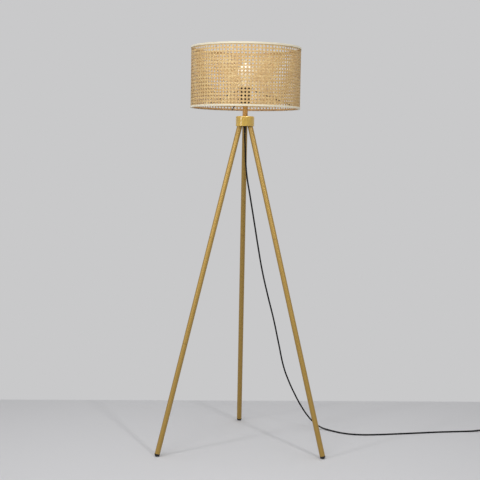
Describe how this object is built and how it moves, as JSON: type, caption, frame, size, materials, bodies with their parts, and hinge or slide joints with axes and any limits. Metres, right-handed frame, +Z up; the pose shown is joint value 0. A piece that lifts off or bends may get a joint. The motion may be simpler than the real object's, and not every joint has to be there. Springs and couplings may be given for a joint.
{
  "type": "tripod floor lamp",
  "caption": "Floor lamp on three straight tube legs with a round metal hub, short pole, open drum shade of woven cane and a corded foot switch.",
  "frame": {"origin": "on the floor, below the middle of the lamp's own box, measured without the cord and what is on it; the pole's axis is 75.7 mm in front of it", "axes": "+Z up from the floor, -Y towards the front that the picture shows, +X to the right of that view; the third leg points to +Y"},
  "size_m": [1.5228, 0.5544, 1.475],
  "materials": {
    "brass": "bright lacquered",
    "copper_gold": "bright lacquered",
    "steel": "zinc plated",
    "dark_wire": "satin",
    "brown_wire": "satin",
    "cane": "natural, woven",
    "edge_tape": "woven tape",
    "black_plastic": "satin",
    "ceramic": "glazed",
    "black_rubber": "matte",
    "cord_black": "satin",
    "bulb_glass": "opal"
  },
  "bodies": {
    "lamp": {"hub_cap": "brass", "leg_upper_1": "brass", "leg_upper_2": "brass", "leg_upper_3": "brass", "leg_middle_1": "brass", "leg_middle_2": "brass", "leg_middle_3": "brass", "leg_lower_1": "brass", "leg_lower_2": "brass", "leg_lower_3": "brass", "leg_joint_upper_1": "brass", "leg_joint_upper_2": "brass", "leg_joint_upper_3": "brass", "leg_joint_lower_1": "brass", "leg_joint_lower_2": "brass", "leg_joint_lower_3": "brass", "screw_shell": "brass", "socket_contact": "brass", "pole": "copper_gold", "leg_plate": "steel", "leg_stud_1": "steel", "leg_stud_2": "steel", "leg_stud_3": "steel", "threaded_rod": "steel", "rod_washer": "steel", "rod_nut": "steel", "bulb_cap": "steel", "plug_pin_1": "steel", "plug_pin_2": "steel", "shade_carrier": "dark_wire", "pole_screw": "dark_wire", "bottom_wire_ring": "brown_wire", "top_wire_ring": "brown_wire", "cane_drum": "cane", "bottom_trim": "edge_tape", "top_trim": "edge_tape", "holder_base": "black_plastic", "holder_shell": "black_plastic", "shade_ring": "black_plastic", "switch_base": "black_plastic", "switch_cover": "black_plastic", "plug_body": "black_plastic", "coil_tie": "black_plastic", "holder_core": "ceramic", "switch_block": "ceramic", "rubber_foot_1": "black_rubber", "rubber_foot_2": "black_rubber", "rubber_foot_3": "black_rubber", "cord_gland": "black_rubber", "switch_relief_in": "black_rubber", "switch_relief_out": "black_rubber", "cord_drop": "cord_black", "cord_tail": "cord_black", "cord_coil": "cord_black", "cord_end": "cord_black", "inner_lead": "cord_black", "bulb_glass": "bulb_glass"},
    "button": {"switch_button": "black_plastic"}
  },
  "joints": [
    {"name": "button_press", "type": "slide", "parent": "lamp", "child": "button", "axis": [0, 0, -1], "range_m": [0, 0.0025], "stiffness_N_per_m": 600, "springref_m": -0.003}
  ]
}
